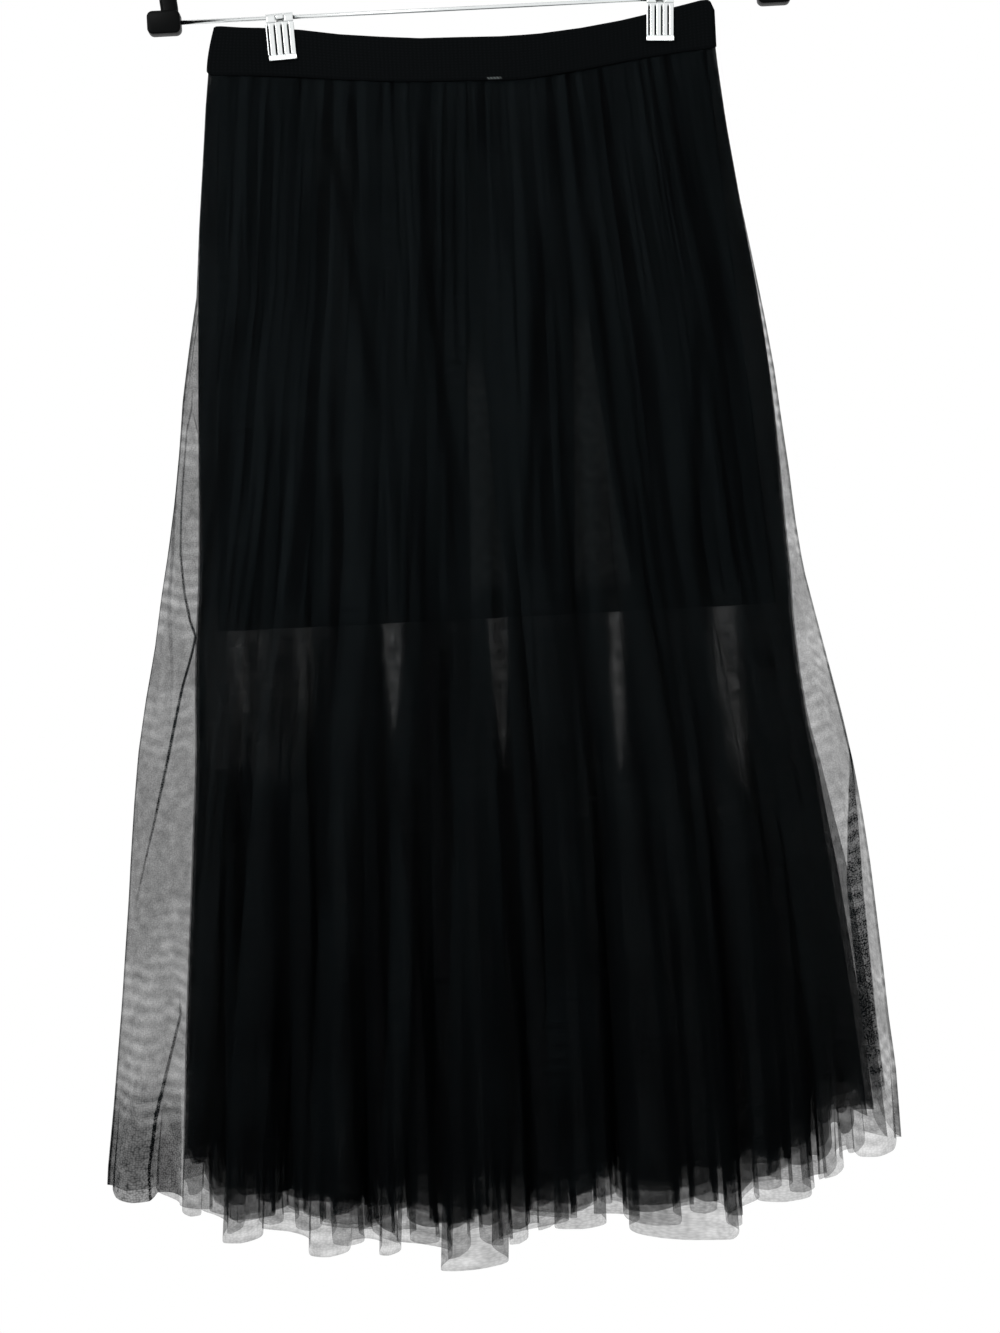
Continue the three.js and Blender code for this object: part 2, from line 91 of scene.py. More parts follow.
KEY_PLACE = Vector((-1.5, -2.4, 0.7))
LOOKED_AT = Vector((-0.001625, 0.0, -0.6449))
key_light = bpy.data.lights.new("soft_key", "AREA")
key_light.shape = "DISK"
key_light.size = 1.5
key_light.energy = 46
key = bpy.data.objects.new("soft_key", key_light)
key.location = KEY_PLACE
key.rotation_euler = (LOOKED_AT - KEY_PLACE).to_track_quat("-Z", "Y").to_euler()
scene.collection.objects.link(key)

CAMERA_AWAY = 2.2
FRAME_TALL = 0.920
SENSOR = 36
ROLL = math.radians(2.9)
lens = bpy.data.cameras.new("camera")
lens.sensor_fit = "AUTO"
lens.sensor_width = SENSOR
lens.lens = SENSOR * CAMERA_AWAY / FRAME_TALL
camera = bpy.data.objects.new("camera", lens)
camera.matrix_world = Matrix((
    (math.cos(ROLL), math.sin(ROLL), 0, LOOKED_AT.x),
    (0, 0, -1, -CAMERA_AWAY),
    (-math.sin(ROLL), math.cos(ROLL), 0, LOOKED_AT.z),
    (0, 0, 0, 1),
))
scene.collection.objects.link(camera)
scene.camera = camera

FLOOR_HEIGHT = -1.36
FLOOR_RADIUS = 1.15
disc = bmesh.new()
bmesh.ops.create_circle(disc, cap_ends=True, radius=FLOOR_RADIUS, segments=96,
                        matrix=Matrix.Translation((0, 0, FLOOR_HEIGHT)))
floor_mesh = bpy.data.meshes.new("floor")
disc.to_mesh(floor_mesh)
disc.free()
floor = bpy.data.objects.new("floor", floor_mesh)
scene.collection.objects.link(floor)


def new_finish(name):
    """An empty material, with its node tree"""
    material = bpy.data.materials.new(name)
    material.use_nodes = True
    material.node_tree.nodes.clear()
    return material, material.node_tree


def shade(tree, values, links=None):
    """Ends a material with its shader"""
    shader = add_node(tree, "ShaderNodeBsdfPrincipled", values=values, links=links)
    add_node(tree, "ShaderNodeOutputMaterial", links={"Surface": shader.outputs[0]})


# Matt white studio paper
paper, tree = new_finish("matt_studio_paper")
shade(tree, {"Base Color": linear("#F2F3F4"), "Roughness": 0.9})
floor_mesh.materials.append(paper)

# Hanger: hook and bar.
# The hook is 4 mm spring wire, bent round a rail and chromed. The bar that the clips slide
# on is 3 mm wire with the same plating, and its ends sit in the end blocks.
HOOK_WIRE = 4
HOOK_INSIDE = 20
BAR_WIRE = 3
BAR_HALF = 205.4


def keep(obj, finish, slot, *nodes):
    """Gives a piece its finish, lets it ride and lets it stand for its CAD nodes"""
    obj.data.materials.clear()
    obj.data.materials.append(finish)
    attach(obj, "root")
    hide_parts(*nodes)


def link_smooth(name, mesh):
    """Makes a smooth-shaded object of a mesh"""
    for polygon in mesh.polygons:
        polygon.use_smooth = True
    obj = bpy.data.objects.new(name, mesh)
    scene.collection.objects.link(obj)
    return obj


def link_mesh(name, bm):
    """Makes an object of a bmesh in mm"""
    bmesh.ops.scale(bm, vec=(MM, MM, MM), verts=bm.verts)
    mesh = bpy.data.meshes.new(name)
    bm.to_mesh(mesh)
    bm.free()
    return link_smooth(name, mesh)


def swept(name, points, radius=0.0, section=None):
    """A piece along a smooth line through points in mm, round or with a section"""
    curve = bpy.data.curves.new(name, "CURVE")
    curve.dimensions = "3D"
    curve.twist_mode = "MINIMUM"
    curve.resolution_u = 10
    curve.use_fill_caps = True
    if section:
        curve.bevel_mode = "OBJECT"
        curve.bevel_object = section
    else:
        curve.bevel_depth = radius * MM
        curve.bevel_resolution = 5
    spline = curve.splines.new("BEZIER")
    spline.bezier_points.add(len(points) - 1)
    for knot, point in zip(spline.bezier_points, points):
        knot.co = Vector(point) * MM
        knot.handle_left_type = knot.handle_right_type = "AUTO"
    line = bpy.data.objects.new(name + "_line", curve)
    scene.collection.objects.link(line)
    solid = line.evaluated_get(bpy.context.evaluated_depsgraph_get())
    mesh = bpy.data.meshes.new_from_object(solid)
    bpy.data.objects.remove(line)
    mesh.name = name
    return link_smooth(name, mesh)


def ranged(tree, value, low, high, start=0.0, end=1.0):
    """Carries a value between low and high over to a value between start and end"""
    node = add_node(tree, "ShaderNodeMapRange", None,
                    {"From Min": low, "From Max": high, "To Min": start, "To Max": end},
                    {"Value": value})
    return node.outputs[0]


# Chrome plate on steel: near-white, with faint drawing marks that blur the gloss, and painted
# shade in the bottom of the clips' flutes, where the base colour goes to dull dark metal
chrome, tree = new_finish("chrome_plate")
place = add_node(tree, "ShaderNodeTexCoord")
marks = add_node(tree, "ShaderNodeTexNoise", values={"Scale": 900, "Detail": 3},
                 links={"Vector": place.outputs["Object"]})
blur = ranged(tree, marks.outputs[0], 0.0, 1.0, 0.10, 0.24)
dents = add_node(tree, "ShaderNodeBump", values={"Strength": 0.08, "Distance": 0.0002},
                 links={"Height": marks.outputs[0]})
# Painted shade: the deeper a point lies in a flute, the darker its base colour
groove = add_node(tree, "ShaderNodeAttribute", {"attribute_name": "groove"})
flute_shade = add_node(tree, "ShaderNodeValToRGB", links={"Fac": groove.outputs["Fac"]})
flute_shade.color_ramp.elements[0].color = linear("#E6E9E9")
flute_shade.color_ramp.elements[1].color = linear("#101213")
shade(tree, {"Metallic": 1.0},
      {"Base Color": flute_shade.outputs[0], "Roughness": blur, "Normal": dents.outputs[0]})

bend = HOOK_INSIDE + HOOK_WIRE / 2
hook_points = [(0, 0, -98), (0, 0, -84), (0, 0, -70), (5, 0, -58), (15, 0, -41)]
for degrees in range(-20, 201, 20):
    turn = math.radians(degrees)
    hook_points.append((bend * math.cos(turn), 0, -HOOK_INSIDE + bend * math.sin(turn)))
hook = swept("hook", hook_points, radius=HOOK_WIRE / 2)
keep(hook, chrome, "chrome", "hanger_hook")

bar = bmesh.new()
bmesh.ops.create_cone(bar, cap_ends=True, segments=24, radius1=BAR_WIRE / 2,
                      radius2=BAR_WIRE / 2, depth=2 * BAR_HALF,
                      matrix=Matrix.Translation((0, 0, -BAR_DOWN))
                      @ Matrix.Rotation(math.radians(90), 4, "Y"))
keep(link_mesh("clip_bar", bar), chrome, "chrome", "hanger_bar")

# Hanger: neck, arms and ends.
# Moulded black ABS: a round neck that holds the hook, two arms that droop to the sides, and
# a soft-cornered block at each end that the bar goes into.
NECK_TOP = 76
NECK_TALL = 34
NECK_RADIUS = 11
ARM = {"wide": 8, "tall": 12, "corner": 3}
# An arm stops this short of the neck and of the end block, so that the meshes don't cross
ARM_GAP = 0.3
BLOCK = {"across": 210.5, "wide": 23, "tall": 16, "deep": 14, "corner": 4, "edge": 1.4}

# ABS from a polished mould: black, half glossy, with the grain of a fine spark finish
abs_black, tree = new_finish("moulded_abs")
place = add_node(tree, "ShaderNodeTexCoord")
grain = add_node(tree, "ShaderNodeTexNoise", values={"Scale": 1400, "Detail": 2},
                 links={"Vector": place.outputs["Object"]})
relief = add_node(tree, "ShaderNodeBump", values={"Strength": 0.12, "Distance": 0.0002},
                  links={"Height": grain.outputs[0]})
gloss = ranged(tree, grain.outputs[0], 0.0, 1.0, 0.32, 0.46)
shade(tree, {"Base Color": linear("#060707"), "IOR": 1.53, "Specular IOR Level": 0.04},
      {"Roughness": gloss, "Normal": relief.outputs[0]})

neck = bmesh.new()
neck_profile = [(2.4, 0), (6.6, 0), (8.2, -1.2), (10.2, -5), (NECK_RADIUS, -8),
                (NECK_RADIUS, -31), (10.4, -33), (9, -NECK_TALL), (0, -NECK_TALL)]
knots = [neck.verts.new((x, 0, z - NECK_TOP)) for x, z in neck_profile]
rim = [neck.edges.new(pair) for pair in zip(knots, knots[1:])]
bmesh.ops.spin(neck, geom=knots + rim, cent=(0, 0, 0), axis=(0, 0, 1),
               angle=math.tau, steps=48, use_merge=True)
bmesh.ops.remove_doubles(neck, verts=neck.verts, dist=0.001)
bmesh.ops.recalc_face_normals(neck, faces=neck.faces)
keep(link_mesh("neck", neck), abs_black, "hanger_plastic", "hanger_neck")


def rounded_section(wide, tall, corner):
    """A closed curve with the outline of an arm's section, in metres"""
    curve = bpy.data.curves.new("arm_section", "CURVE")
    spline = curve.splines.new("POLY")
    outline = []
    for quarter in range(4):
        for step in range(5):
            turn = math.radians(90 * quarter + 22.5 * step)
            side = Vector((1 if quarter in (0, 3) else -1, 1 if quarter < 2 else -1))
            outline.append((side.x * (wide / 2 - corner) + corner * math.cos(turn),
                            side.y * (tall / 2 - corner) + corner * math.sin(turn)))
    spline.points.add(len(outline) - 1)
    for knot, (x, y) in zip(spline.points, outline):
        knot.co = (x * MM, y * MM, 0, 1)
    spline.use_cyclic_u = True
    obj = bpy.data.objects.new("arm_section", curve)
    scene.collection.objects.link(obj)
    return obj


section = rounded_section(**ARM)
arm_foot = -BAR_DOWN + BLOCK["tall"] / 2 + ARM_GAP
arm_points = [(NECK_RADIUS + ARM_GAP, -96), (NECK_RADIUS + 8, -96), (60, -103), (120, -117),
              (168, -134), (194, -152), (206.5, arm_foot + 12), (206.5, arm_foot)]
for side, name in ((-1, "left"), (1, "right")):
    arm = swept(f"arm_{name}", [(side * x, 0, z) for x, z in arm_points], section=section)
    keep(arm, abs_black, "hanger_plastic", f"hanger_arm_{name}")
    block = bmesh.new()
    bmesh.ops.create_cube(block, size=1, matrix=Matrix.Translation(
        (side * BLOCK["across"], 0, -BAR_DOWN)) @ Matrix.Diagonal(
        (BLOCK["wide"], BLOCK["deep"], BLOCK["tall"], 1)))
    upright = [e for e in block.edges
               if abs(e.verts[0].co.y - e.verts[1].co.y) > BLOCK["deep"] / 2]
    bmesh.ops.bevel(block, geom=upright, offset=BLOCK["corner"], segments=7,
                    affect="EDGES", profile=0.5, material=-1)
    caps = [e for e in block.edges
            if abs(abs(e.verts[0].co.y) - BLOCK["deep"] / 2) < 0.01
            and abs(e.verts[0].co.y - e.verts[1].co.y) < 0.01]
    bmesh.ops.bevel(block, geom=caps, offset=BLOCK["edge"], segments=3,
                    affect="EDGES", profile=0.5, material=-1)
    keep(link_mesh(f"end_block_{name}", block), abs_black, "hanger_plastic",
         f"hanger_end_{name}")
bpy.data.objects.remove(section)

# Hanger: clips.
# Each clip is two pressed steel plates, chromed, that pinch the waistband. Flutes run down
# the plates, a toothed lip crosses the bottom, and straps roll over the bar at the top.
CLIP_WIDE = 18.6
# A plate's top, bottom and lip are measured down from the bar, its inner face from the middle
PLATE_TOP = 3.6
PLATE_BOTTOM = 29.8
LIP_DOWN = 26.4
PLATE_IN = 2.05
PLATE_WALL = 1.2
FLUTE_HALF = 0.8
FLUTE_DEEP = 0.7
TOOTH_PITCH = 1.55
# A strap rolls over the bar at this radius, starting a little further out at the plate
ROLL_RADIUS = 3.1
ROLL_START = 1.04
STRAPS = {"front": [(-9.3, -3.1), (3.1, 9.3)], "back": [(-2.6, 2.6)]}
# Side, across, lean in degrees, how many flutes the width holds and where the first one lies
CLIPS = [("left", -131, -2.6, 4.0, 0.84), ("right", 132, 2.9, 4.25, 0.62)]


def clip_strip(bm, line, left, right, columns, relief=None):
    """Sweeps a line of (y, z) points across the clip and presses relief into it"""
    groove = bm.verts.layers.float.get("groove") or bm.verts.layers.float.new("groove")
    made = bmesh.ops.create_grid(bm, x_segments=columns, y_segments=len(line) - 1, size=0.5)
    ys, zs = zip(*line)
    steps = np.linspace(0, 1, len(line))
    for vert in made["verts"]:
        along = vert.co.y + 0.5
        x = left + (vert.co.x + 0.5) * (right - left)
        y, z = np.interp(along, steps, ys), np.interp(along, steps, zs)
        pressed = relief(x, z) if relief else 0
        vert.co = (x, y - pressed, z)
        # How deep the point lies in a flute, which the chrome turns into painted shade
        vert[groove] = max(0, -pressed / FLUTE_DEEP)


def flutes(x, z, count, shift):
    """Flutes down the plate, and short teeth in its lip, as height in mm"""
    down = -z
    if down > LIP_DOWN:
        return 0.55 + 0.25 * math.cos(math.tau * x / TOOTH_PITCH)
    ramp = min(1, max(0, (down - 4.5) / 1.5)) * min(1, max(0, (LIP_DOWN - 0.2 - down) / 0.6))
    turn = ((x / CLIP_WIDE + 0.5) * count + shift) % 1
    away = min(turn, 1 - turn) * CLIP_WIDE / count
    return -FLUTE_DEEP * ramp * min(1, max(0, (FLUTE_HALF - away) / 0.25))


def give_wall(obj, thick, offset):
    """Makes an open surface a wall, thick in mm"""
    wall = obj.modifiers.new("wall", "SOLIDIFY")
    wall.thickness = thick * MM
    wall.offset = offset


plate_out = PLATE_IN + PLATE_WALL
face = [(-plate_out, -down) for down in np.linspace(PLATE_BOTTOM, PLATE_TOP, 40)]
roll = [(-plate_out, -3.7), (-plate_out, -2.2)]
for degrees in range(180, -40, -15):
    turn = math.radians(degrees)
    out = ROLL_START if degrees == 180 else 1
    roll.append((ROLL_RADIUS * out * math.cos(turn), ROLL_RADIUS * math.sin(turn)))
for name, across, lean, count, shift in CLIPS:
    for jaw, side in (("front", 1), ("back", -1)):
        plate = bmesh.new()
        clip_strip(plate, face, -CLIP_WIDE / 2, CLIP_WIDE / 2, 72,
                   lambda x, z: flutes(x, z, count, shift))
        for left, right in STRAPS[jaw]:
            clip_strip(plate, roll, left, right, 6)
        # The strips are open, so mirroring turns them inside out and they are turned back
        bmesh.ops.scale(plate, vec=(1, side, 1), verts=plate.verts)
        if jaw == "back":
            bmesh.ops.reverse_faces(plate, faces=plate.faces)
        bmesh.ops.rotate(plate, cent=(0, 0, 0), verts=plate.verts,
                         matrix=Matrix.Rotation(math.radians(lean), 3, "Y"))
        bmesh.ops.translate(plate, vec=(across, 0, -BAR_DOWN), verts=plate.verts)
        clip = link_mesh(f"clip_{name}_{jaw}_plate", plate)
        keep(clip, chrome, "chrome", f"clip_{name}_{jaw}")
        give_wall(clip, PLATE_WALL, -1)

# Waistband.
# A tube of black knitted elastic, pinched flat by the clips and slack between them. Its
# lower edge is stitched over the gathered tulle, so a fine ledge runs along the seam.
BAND = np.array([
    # across, top, bottom, off
    (-183.0, 4.6, 34.8, 0.95),
    (-181.5, 3.9, 37.2, 0.95),
    (-177.0, 3.9, 37.9, 0.95),
    (-172.0, 4.4, 38.1, 1.1),
    (-158.0, 5.8, 38.8, 1.3),
    (-145.0, 6.5, 39.8, 0.95),
    (-117.0, 9.3, 42.2, 0.95),
    (-90.0, 14.1, 45.6, 2.6),
    (-62.0, 17.6, 48.4, 4.8),
    (-35.0, 20.3, 50.2, 6.2),
    (-7.0, 21.0, 51.1, 6.6),
    (20.0, 21.8, 52.3, 6.4),
    (36.0, 21.6, 52.0, 6.1),
    (48.0, 21.1, 50.8, 5.6),
    (76.0, 18.3, 47.4, 3.8),
    (104.0, 14.2, 43.0, 1.8),
    (118.0, 11.5, 41.0, 0.95),
    (145.0, 6.0, 37.8, 0.95),
    (160.0, 2.8, 36.7, 1.2),
    (165.8, 2.5, 36.2, 0.95),
    (167.4, 5.4, 36.0, 0.95),
    (168.6, 10.0, 35.2, 0.95),
])
# The left end leans in by this much at its top, in mm
BAND_LEAN = 6.5
BAND_WALL = 1.3
# A strip of the front is measured across this width, and its edge is this soft, in mm
FRONT_WIDE = 640
STRIP_EDGE = 0.4


def read(table, place, column):
    """Reads a column of a table between its rows, for many places at once"""
    return np.interp(place, table[:, 0], table[:, column])


def wobble(across, down, seed):
    """A smooth unevenness, mostly between -1 and 1 and the same each time"""
    pick = np.random.default_rng(seed)
    total = 0
    for _ in range(5):
        turn = pick.uniform(0, math.tau)
        pace = pick.uniform(0.7, 1.6)
        phase = pick.uniform(0, math.tau)
        total = total + np.sin(pace * (across * math.cos(turn) + down * math.sin(turn)) + phase)
    return total / 3.2


def halves(around):
    """What lies in the front half of a loop, and each point's share of the way to the right"""
    front = around <= 0.5
    return front, np.where(front, 2 * around, 2 - 2 * around)


def shut_sides(off, share, steep):
    """Brings the two halves of a loop together at its sides"""
    return off * np.minimum(1, steep * np.minimum(share, 1 - share))


def stood_off(front, across, off, down):
    """Points that stand off to the front or the back, in mm"""
    return across, np.where(front, -off, off), -(BAR_DOWN + down)


def points_of(mesh):
    """A mesh's points, a row each"""
    points = np.empty(len(mesh.vertices) * 3)
    mesh.vertices.foreach_get("co", points)
    return points.reshape(-1, 3)


def cloth(name, columns, rows, place, cut):
    """A loop of cloth: place gives its points in mm, cut is its flat size in metres"""
    bm = bmesh.new()
    bmesh.ops.create_grid(bm, x_segments=columns, y_segments=rows, size=0.5)
    mesh = bpy.data.meshes.new(name)
    bm.to_mesh(mesh)
    bm.free()
    grid = points_of(mesh)
    around, along = grid[:, 0] + 0.5, 0.5 - grid[:, 1]
    points = np.stack(place(around, along), axis=1) * MM
    mesh.vertices.foreach_set("co", points.astype(np.float32).ravel())
    corners = np.empty(len(mesh.loops), np.int32)
    mesh.loops.foreach_get("vertex_index", corners)
    flat = mesh.uv_layers.new(name="cloth")
    flat_places = np.stack((around * cut[0], along * cut[1]), axis=1)[corners]
    flat.data.foreach_set("uv", flat_places.astype(np.float32).ravel())
    # The loop's two ends meet at the left side and are joined there
    joined = bmesh.new()
    joined.from_mesh(mesh)
    bmesh.ops.remove_doubles(joined, verts=joined.verts, dist=1e-6)
    joined.to_mesh(mesh)
    joined.free()
    return link_smooth(name, mesh)


def math_node(tree, operation, first, second, third=None, clamp=False):
    """One sum, with numbers or sockets as its terms"""
    node = add_node(tree, "ShaderNodeMath", {"operation": operation, "use_clamp": clamp})
    for i, term in enumerate((first, second, third)):
        if isinstance(term, (int, float)):
            node.inputs[i].default_value = term
        elif term is not None:
            tree.links.new(term, node.inputs[i])
    return node.outputs[0]


def strip(tree, place, rows):
    """1 inside a strip of the front, 0 outside. Rows give down, left, right and strength."""
    top, bottom = rows[0][0], rows[-1][0]
    spot = add_node(tree, "ShaderNodeSeparateXYZ", links={0: place})
    fall = ranged(tree, spot.outputs[2], -(BAR_DOWN + top) * MM, -(BAR_DOWN + bottom) * MM)
    ramp = add_node(tree, "ShaderNodeValToRGB", links={"Fac": fall})
    stops = ramp.color_ramp.elements
    for i, (down, left, right, strength) in enumerate(rows):
        at = (down - top) / (bottom - top)
        stop = stops[i] if i < 2 else stops.new(at)
        stop.position = at
        stop.color = (left / FRONT_WIDE + 0.5, right / FRONT_WIDE + 0.5, strength, 1)
    sides = add_node(tree, "ShaderNodeSeparateColor", links={0: ramp.outputs[0]})
    left, right, mask = (sides.outputs[i] for i in range(3))
    across = math_node(tree, "MULTIPLY_ADD", spot.outputs[0], 1 / (FRONT_WIDE * MM), 0.5)
    for more, less in ((across, left), (right, across)):
        past = math_node(tree, "SUBTRACT", more, less)
        soft = math_node(tree, "MULTIPLY_ADD", past, FRONT_WIDE / (2 * STRIP_EDGE), 0.5,
                         clamp=True)
        mask = math_node(tree, "MULTIPLY", mask, soft)
    ahead = math_node(tree, "LESS_THAN", spot.outputs[1], 0.0)
    return math_node(tree, "MULTIPLY", mask, ahead)


# Knitted elastic: matt black. Its ribs are drawn at 3 mm and its courses at 2 mm, coarser
# than the real knit, so that they show.
elastic, tree = new_finish("knitted_elastic")
flat = add_node(tree, "ShaderNodeUVMap", {"uv_map": "cloth"})
ribs = add_node(tree, "ShaderNodeTexWave", {"bands_direction": "X"},
                {"Scale": 110, "Distortion": 0.4, "Detail": 1}, {"Vector": flat.outputs[0]})
courses = add_node(tree, "ShaderNodeTexWave", {"bands_direction": "Y"},
                   {"Scale": 160, "Distortion": 0.6, "Detail": 1}, {"Vector": flat.outputs[0]})
knit = math_node(tree, "MULTIPLY", ribs.outputs[1], courses.outputs[1])
relief = add_node(tree, "ShaderNodeBump", values={"Strength": 0.35, "Distance": 0.0004},
                  links={"Height": knit})
shades = add_node(tree, "ShaderNodeValToRGB", links={"Fac": knit})
shades.color_ramp.elements[0].color = linear("#040607")
shades.color_ramp.elements[1].color = linear("#0B0D0F")
# Four slanted stitches of pale thread show on the band's edge, right of its middle
place = add_node(tree, "ShaderNodeTexCoord")
tack = strip(tree, place.outputs["Object"], [
    (49.5, 10.0, 19.0, 0), (49.7, 10.0, 19.0, 1), (51.0, 11.0, 20.0, 1), (51.2, 11.0, 20.0, 0)])
slant = add_node(tree, "ShaderNodeTexWave", {"bands_direction": "DIAGONAL"}, {"Scale": 280},
                 {"Vector": place.outputs["Object"]})
stitches = math_node(tree, "GREATER_THAN", slant.outputs[1], 0.55)
thread = math_node(tree, "MULTIPLY", tack, stitches)
sewn = add_node(tree, "ShaderNodeMix", {"data_type": "RGBA"}, {7: linear("#7D8281")},
                {0: thread, 6: shades.outputs[0]})
shade(tree, {"Roughness": 0.85, "Specular IOR Level": 0.05},
      {"Base Color": sewn.outputs[2], "Normal": relief.outputs[0]})


def band_place(around, along):
    """Points of the waistband's loop: the front from left to right, then the back"""
    front, share = halves(around)
    across = BAND[0, 0] + share * (BAND[-1, 0] - BAND[0, 0])
    across += 3 * np.sin(math.tau * share) / math.tau
    top, bottom = read(BAND, across, 1), read(BAND, across, 2)
    down = top + along * (bottom - top)
    uneven = 0.25 * wobble(across / 12, down / 9, 3) * np.sin(math.pi * share)
    off = shut_sides(read(BAND, across, 3) + uneven, share, 12) + 0.02
    across = across + np.interp(across, [-183, -150], [BAND_LEAN, 0]) * (1 - along) ** 1.5
    return stood_off(front, across, off, down)


band = cloth("waistband_elastic", 360, 14, band_place, (0.705, 0.031))
keep(band, elastic, "waistband", "waistband_front", "waistband_back")
give_wall(band, BAND_WALL, 0)

# Lining.
# A short underskirt of black jersey, sewn in at the waistband. It is the one close cloth
# here, so it makes the upper half of the skirt solid black down to its level hem.
LINING_HEM = 421
# Its half widths to the left and the right, each at the top and at the hem
LINING_SIDES = [(176, 195), (162, 191)]
# How deep it is as a share of the skirt's depth, and its waves: how many and how high
LINING_DEPTH = 0.42
LINING_WAVES = 7
LINING_SWING = 2.4

# The skirt, in mm below the bar: how far the top layer and the darker layers reach to each
# side, and how deep the skirt is there
SHAPE = np.array([
    # down, left, right, dark left, dark right, half depth, squareness, room between layers
    (37, 182.0, 168.5, 181.7, 168.2, 7, 6, 0.5),
    (54, 184.5, 170.0, 184.2, 169.8, 10, 5.5, 0.7),
    (90, 188.2, 173.5, 187.8, 173.2, 15, 4.6, 0.9),
    (140, 193.5, 180.0, 193.0, 179.6, 21, 4, 1.2),
    (190, 198.0, 188.0, 196.8, 186.8, 27, 3.6, 1.5),
    (226, 205.0, 193.5, 198.6, 191.2, 30.5, 3.4, 1.7),
    (260, 211.0, 198.0, 200.6, 194.8, 33.5, 3.3, 1.9),
    (294, 215.0, 201.0, 202.4, 197.6, 36, 3.1, 2.0),
    (329, 220.0, 204.5, 204.3, 199.6, 39, 3, 2.2),
    (363, 226.0, 207.0, 206.2, 201.2, 41, 3, 2.3),
    (397, 233.0, 211.0, 208.6, 203.2, 43.5, 3, 2.4),
    (431, 239.0, 218.0, 212.0, 203.6, 45.5, 3, 2.5),
    (466, 247.0, 225.5, 214.2, 206.0, 47.5, 2.9, 2.6),
    (502, 254.0, 233.0, 215.4, 210.0, 49, 2.8, 2.7),
    (536, 258.5, 239.0, 218.2, 216.5, 50.5, 2.8, 2.8),
    (571, 262.5, 243.5, 221.3, 221.5, 52, 2.7, 2.9),
    (605, 266.0, 247.0, 224.2, 227.0, 53.5, 2.7, 3.0),
    (639, 270.0, 249.5, 227.2, 231.0, 54.5, 2.6, 3.0),
    (674, 274.0, 252.0, 230.2, 235.0, 55.5, 2.6, 3.0),
    (708, 278.5, 254.0, 233.0, 238.5, 56.5, 2.6, 3.0),
    (743, 283.0, 257.0, 235.4, 241.5, 57.5, 2.6, 3.0),
    (790, 289.5, 258.0, 239.0, 245.0, 58.5, 2.5, 3.0),
    (850, 294.0, 259.0, 243.0, 248.0, 60, 2.5, 3.0),
])

# Jersey: matt brushed cotton, with courses drawn at 4 mm so that they show. It is black, but
# its tone is set lighter here, because the net before it takes most of the light.
jersey, tree = new_finish("cotton_jersey")
flat = add_node(tree, "ShaderNodeUVMap", {"uv_map": "cloth"})
courses = add_node(tree, "ShaderNodeTexWave", {"bands_direction": "Y"},
                   {"Scale": 80, "Distortion": 1.2, "Detail": 2}, {"Vector": flat.outputs[0]})
relief = add_node(tree, "ShaderNodeBump", values={"Strength": 0.2, "Distance": 0.0003},
                  links={"Height": courses.outputs[1]})
shade(tree, {"Base Color": linear("#545655"), "Roughness": 0.95, "Specular IOR Level": 0.05},
      {"Normal": relief.outputs[0]})


def ease(value, start, end):
    """0 up to start, 1 past end, and an easy curve between"""
    value = np.clip((value - start) / (end - start), 0, 1)
    return value * value * (3 - 2 * value)


def roundness(spread, squareness):
    """How deep a flattened tube is, from 1 at its middle to 0 at its sides"""
    return np.sqrt(np.clip(1 - np.abs(spread) ** squareness, 0, 1))


def lining_place(around, along):
    """Points of the lining's loop, with soft waves that grow towards its hem"""
    front, share = halves(around)
    left, right = (start + (end - start) * along for start, end in LINING_SIDES)
    across = -left + share * (left + right)
    top = read(BAND, across, 2)
    down = top + along * (LINING_HEM - top)
    depth = LINING_DEPTH * read(SHAPE, down, 5) * (0.25 + 0.75 * along)
    phase = math.tau * LINING_WAVES * share + np.where(front, 0.4, 2.1)
    waves = LINING_SWING * along * np.sin(phase)
    leaves = ease(down - top, 0, 80)
    off = np.maximum(0.06, leaves * roundness(2 * share - 1, 4) * (depth + waves))
    return stood_off(front, across, shut_sides(off, share, 12), down)


lining = cloth("jersey_lining", 300, 50, lining_place, (0.77, 0.38))
keep(lining, jersey, "lining", "lining_front", "lining_back")

# Tulle: layers.
# Four layers of soft black tulle, gathered into the waistband and hanging in tubes. Three
# stay narrow and make the skirt's dark body. The top one, the widest and longest, spreads
# past them on both sides, and the open net lets the white room through at the hem.
SIDE_TO_SIDE = 1.6

# Folds of the top layer's front and of the other layers' front, then of every back: each
# fold's left and right edge at the hem, and how far down the hem is there
TOP_FOLDS = [
    (-285, -252, 803, 805), (-234, -222, 812, 815), (-206, -180, 833, 829),
    (-148, -120, 843, 841), (-99, -88, 843, 841), (-55, -22, 855, 851), (20, 46, 831, 829),
    (66, 141, 838, 846), (152, 190, 822, 822), (200, 214, 812, 806), (222, 254, 798, 797),
]
FULL_FOLDS = [
    (-236, -220, 796, 806), (-208, -192, 826, 824), (-184, -166, 820, 821),
    (-156, -138, 822, 824), (-132, -112, 836, 832), (-104, -90, 826, 840),
    (-80, -62, 836, 838), (-55, -40, 851, 845), (-34, -20, 838, 840), (-14, -1, 844, 842),
    (5, 20, 834, 826), (27, 42, 826, 820), (47, 56, 816, 817), (62, 101, 830, 836),
    (108, 126, 825, 827), (131, 142, 837, 838), (152, 170, 815, 813), (176, 192, 817, 816),
    (197, 210, 811, 804), (218, 236, 795, 789),
]
BACK_FOLDS = [
    (-282, -258, 808, 806), (-244, -222, 824, 828), (-210, -178, 838, 836),
    (-170, -156, 828, 832), (-146, -112, 843, 847), (-98, -80, 838, 834), (-70, -40, 846, 850),
    (-30, -14, 840, 836), (-2, 32, 844, 848), (46, 62, 836, 832), (72, 104, 842, 842),
    (114, 130, 838, 834), (140, 172, 830, 826), (182, 200, 816, 800), (214, 246, 778, 772),
]
# How far down the hem is at the left and the right side seam
SEAM_HEM = (798, 794)
WAIST = SHAPE[0, 0]
